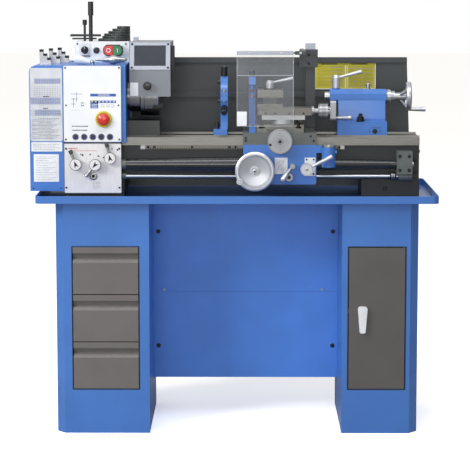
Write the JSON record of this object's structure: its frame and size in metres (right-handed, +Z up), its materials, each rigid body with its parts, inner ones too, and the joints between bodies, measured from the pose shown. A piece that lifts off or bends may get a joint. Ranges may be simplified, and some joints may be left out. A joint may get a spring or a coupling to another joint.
{
  "type": "engine lathe",
  "caption": "Bench engine lathe on a cabinet stand with chip tray, geared headstock, scroll chuck, carriage, compound slide, steady rests and tailstock.",
  "frame": {"origin": "on the floor, at the centre of the four anchor holes in the cabinets' floors", "axes": "+X along the bed towards the tailstock, +Y away from the operator, +Z up"},
  "size_m": [1.306, 0.533, 1.382],
  "materials": {
    "blue_paint": "gloss hammered enamel",
    "dark_paint": "semi-gloss enamel",
    "grey_paint": "semi-gloss enamel",
    "white_paint": "satin enamel",
    "cast_steel": "machined",
    "bright_steel": "ground",
    "chrome_steel": "polished",
    "black_plastic": "moulded",
    "red_plastic": "moulded",
    "green_plastic": "moulded",
    "clear_plastic": "clear sheet",
    "belt_rubber": "moulded"
  },
  "bodies": {
    "stand": {"left_cabinet": "blue_paint", "right_cabinet": "blue_paint", "centre_panels": "blue_paint", "chip_tray": "blue_paint", "backsplash": "dark_paint", "bed": "cast_steel", "feed_rack": "bright_steel", "headstock_housing": "blue_paint", "feed_gearbox": "blue_paint", "gear_cover": "blue_paint", "motor": "dark_paint", "electrical_box": "white_paint", "drive_belt": "belt_rubber", "end_bracket": "blue_paint", "loose_tools": "bright_steel", "spare_gears": "bright_steel", "leadscrew_covers": "bright_steel"},
    "chuck": {"spindle": "bright_steel", "chuck_body": "bright_steel"},
    "scroll": {"chuck_scroll": "bright_steel"},
    "first_jaw": {"chuck_jaw_1": "bright_steel"},
    "second_jaw": {"chuck_jaw_2": "bright_steel"},
    "third_jaw": {"chuck_jaw_3": "bright_steel"},
    "motor_rotor": {"motor_pulley": "cast_steel"},
    "upper_drawer": {"top_drawer": "grey_paint"},
    "centre_drawer": {"middle_drawer": "grey_paint"},
    "lower_drawer": {"bottom_drawer": "grey_paint"},
    "door": {"cabinet_door": "grey_paint"},
    "door_latch": {"door_handle": "chrome_steel"},
    "guard": {"chuck_guard": "grey_paint"},
    "mushroom_button": {"emergency_stop": "red_plastic"},
    "red_button": {"stop_button": "red_plastic"},
    "green_button": {"start_button": "green_plastic"},
    "selector": {"selector_switch": "black_plastic"},
    "left_lever": {"left_feed_lever": "chrome_steel"},
    "middle_lever": {"middle_feed_lever": "chrome_steel"},
    "right_lever": {"right_feed_lever": "chrome_steel"},
    "lead_screw": {"leadscrew": "bright_steel"},
    "feed_shaft": {"feed_rod": "bright_steel"},
    "carriage": {"saddle": "cast_steel", "apron": "blue_paint", "follow_rest": "blue_paint"},
    "carriage_wheel": {"carriage_handwheel": "chrome_steel"},
    "nut_lever": {"half_nut_lever": "chrome_steel"},
    "engage_lever": {"feed_engage_lever": "chrome_steel"},
    "cross": {"cross_slide": "bright_steel", "shield_post": "cast_steel"},
    "cross_wheel": {"cross_feed_dial": "chrome_steel"},
    "shield": {"tool_shield": "clear_plastic"},
    "swivel": {"compound_base": "cast_steel"},
    "compound": {"top_slide": "bright_steel"},
    "crank": {"compound_crank": "chrome_steel"},
    "turret": {"tool_post": "bright_steel"},
    "turret_lock": {"tool_post_lever": "chrome_steel"},
    "tailstock": {"tailstock_body": "blue_paint"},
    "tail_quill": {"quill": "bright_steel"},
    "tail_wheel": {"tailstock_handwheel": "chrome_steel"},
    "quill_lock": {"quill_lock_lever": "chrome_steel"},
    "steady": {"steady_rest": "blue_paint"},
    "steady_top": {"steady_arm": "blue_paint"}
  },
  "joints": [
    {"name": "spindle_spin", "type": "hinge", "parent": "stand", "child": "chuck", "pos_m": [-0.45, 0, 1.075], "axis": [1, 0, 0], "continuous": true},
    {"name": "motor_spin", "type": "hinge", "parent": "stand", "child": "motor_rotor", "pos_m": [-0.588, 0.166, 0.862], "axis": [1, 0, 0], "continuous": true},
    {"name": "scroll_turn", "type": "hinge", "parent": "chuck", "child": "scroll", "pos_m": [-0.28, 0, 1.075], "axis": [1, 0, 0], "range_deg": [-268, 448]},
    {"name": "first_jaw_slide", "type": "slide", "parent": "chuck", "child": "first_jaw", "axis": [0, 0, 1], "range_m": [-0.006, 0.01]},
    {"name": "second_jaw_slide", "type": "slide", "parent": "chuck", "child": "second_jaw", "axis": [0, -0.866, -0.5], "range_m": [-0.006, 0.01]},
    {"name": "third_jaw_slide", "type": "slide", "parent": "chuck", "child": "third_jaw", "axis": [0, 0.866, -0.5], "range_m": [-0.006, 0.01]},
    {"name": "upper_drawer_slide", "type": "slide", "parent": "stand", "child": "upper_drawer", "axis": [0, -1, 0], "range_m": [0, 0.3]},
    {"name": "centre_drawer_slide", "type": "slide", "parent": "stand", "child": "centre_drawer", "axis": [0, -1, 0], "range_m": [0, 0.3]},
    {"name": "lower_drawer_slide", "type": "slide", "parent": "stand", "child": "lower_drawer", "axis": [0, -1, 0], "range_m": [0, 0.3]},
    {"name": "door_swing", "type": "hinge", "parent": "stand", "child": "door", "pos_m": [0.534, -0.2085, 0.376], "axis": [0, 0, 1], "range_deg": [0, 110]},
    {"name": "latch_turn", "type": "hinge", "parent": "door", "child": "door_latch", "pos_m": [0.402, -0.205, 0.398], "axis": [0, 1, 0], "range_deg": [0, 90]},
    {"name": "guard_swing", "type": "hinge", "parent": "stand", "child": "guard", "pos_m": [-0.342, 0.15, 1.225], "axis": [-1, 0, 0], "range_deg": [0, 80]},
    {"name": "mushroom_push", "type": "slide", "parent": "stand", "child": "mushroom_button", "axis": [0, 1, 0], "range_m": [0, 0.005], "stiffness_N_per_m": 800},
    {"name": "red_push", "type": "slide", "parent": "stand", "child": "red_button", "axis": [0, 1, 0], "range_m": [0, 0.003], "stiffness_N_per_m": 400},
    {"name": "green_push", "type": "slide", "parent": "stand", "child": "green_button", "axis": [0, 1, 0], "range_m": [0, 0.003], "stiffness_N_per_m": 400},
    {"name": "selector_turn", "type": "hinge", "parent": "stand", "child": "selector", "pos_m": [-0.509, 0.12, 1.222], "axis": [0, 1, 0], "range_deg": [-45, 45]},
    {"name": "left_lever_turn", "type": "hinge", "parent": "stand", "child": "left_lever", "pos_m": [-0.518, -0.14, 0.865], "axis": [0, 1, 0], "range_deg": [-30, 30]},
    {"name": "middle_lever_turn", "type": "hinge", "parent": "stand", "child": "middle_lever", "pos_m": [-0.4557, -0.14, 0.864], "axis": [0, 1, 0], "range_deg": [-25, 25]},
    {"name": "right_lever_turn", "type": "hinge", "parent": "stand", "child": "right_lever", "pos_m": [-0.4077, -0.14, 0.885], "axis": [0, 1, 0], "range_deg": [-30, 30]},
    {"name": "leadscrew_spin", "type": "hinge", "parent": "stand", "child": "lead_screw", "pos_m": [0.08, -0.11, 0.862], "axis": [1, 0, 0], "continuous": true},
    {"name": "feed_rod_spin", "type": "hinge", "parent": "stand", "child": "feed_shaft", "pos_m": [0.08, -0.11, 0.824], "axis": [1, 0, 0], "continuous": true},
    {"name": "carriage_wheel_turn", "type": "hinge", "parent": "carriage", "child": "carriage_wheel", "pos_m": [0.057, -0.15, 0.845], "axis": [0, 1, 0], "range_deg": [-820, 1190]},
    {"name": "carriage_travel", "type": "slide", "parent": "stand", "child": "carriage", "axis": [1, 0, 0], "range_m": [-0.045, 0.065], "deforming": ["leadscrew_covers"]},
    {"name": "nut_lever_turn", "type": "hinge", "parent": "carriage", "child": "nut_lever", "pos_m": [0.222, -0.16, 0.854], "axis": [0, 1, 0], "range_deg": [0, 40]},
    {"name": "engage_lever_turn", "type": "hinge", "parent": "carriage", "child": "engage_lever", "pos_m": [0.178, -0.15, 0.861], "axis": [0, 1, 0], "range_deg": [-30, 15]},
    {"name": "cross_wheel_turn", "type": "hinge", "parent": "carriage", "child": "cross_wheel", "pos_m": [0.137, -0.15, 0.941], "axis": [0, 1, 0], "range_deg": [-2380, 868]},
    {"name": "cross_travel", "type": "slide", "parent": "carriage", "child": "cross", "axis": [0, 1, 0], "range_m": [-0.033, 0.012]},
    {"name": "shield_swing", "type": "hinge", "parent": "cross", "child": "shield", "pos_m": [0.17, -0.133, 1.222], "axis": [-1, 0, 0], "range_deg": [0, 100]},
    {"name": "swivel_turn", "type": "hinge", "parent": "cross", "child": "swivel", "pos_m": [0.15, -0.075, 1], "axis": [0, 0, 1], "range_deg": [-25, 0]},
    {"name": "compound_travel", "type": "slide", "parent": "swivel", "child": "compound", "axis": [1, 0, 0], "range_m": [-0.015, 0.03]},
    {"name": "crank_turn", "type": "hinge", "parent": "compound", "child": "crank", "pos_m": [0.25, -0.075, 1.032], "axis": [1, 0, 0], "range_deg": [-2705, 5405]},
    {"name": "turret_turn", "type": "hinge", "parent": "compound", "child": "turret", "pos_m": [0.106, -0.07, 1.07], "axis": [0, 0, 1], "continuous": true},
    {"name": "turret_lock_turn", "type": "hinge", "parent": "compound", "child": "turret_lock", "pos_m": [0.106, -0.07, 1.11], "axis": [0, 0, 1], "range_deg": [-45, 0]},
    {"name": "tailstock_travel", "type": "slide", "parent": "stand", "child": "tailstock", "axis": [1, 0, 0], "range_m": [-0.06, 0.09]},
    {"name": "tail_wheel_turn", "type": "hinge", "parent": "tailstock", "child": "tail_wheel", "pos_m": [0.5, 0, 1.075], "axis": [-1, 0, 0], "range_deg": [0, 7190]},
    {"name": "quill_travel", "type": "slide", "parent": "tailstock", "child": "tail_quill", "axis": [-1, 0, 0], "range_m": [0, 0.08]},
    {"name": "quill_lock_turn", "type": "hinge", "parent": "tailstock", "child": "quill_lock", "pos_m": [0.323, 0, 1.11], "axis": [0, 0, 1], "range_deg": [-30, 30]},
    {"name": "steady_travel", "type": "slide", "parent": "stand", "child": "steady", "axis": [1, 0, 0], "range_m": [-0.1, 0.045]},
    {"name": "steady_arm_swing", "type": "hinge", "parent": "steady", "child": "steady_top", "pos_m": [-0.0425, 0.074, 1.081], "axis": [-1, 0, 0], "range_deg": [0, 80]}
  ],
  "couplings": [
    {"joint": "motor_spin", "follows": "spindle_spin", "ratio": 1.6},
    {"joint": "first_jaw_slide", "follows": "scroll_turn", "m_per_rad": 0.0012732},
    {"joint": "second_jaw_slide", "follows": "scroll_turn", "m_per_rad": 0.0012732},
    {"joint": "third_jaw_slide", "follows": "scroll_turn", "m_per_rad": 0.0012732},
    {"joint": "carriage_travel", "follows": "carriage_wheel_turn", "m_per_rad": 0.003125},
    {"joint": "cross_wheel_turn", "follows": "cross_travel", "rad_per_m": 1256.6},
    {"joint": "crank_turn", "follows": "compound_travel", "rad_per_m": 3141.6},
    {"joint": "quill_travel", "follows": "tail_wheel_turn", "m_per_rad": 0.00063662}
  ]
}
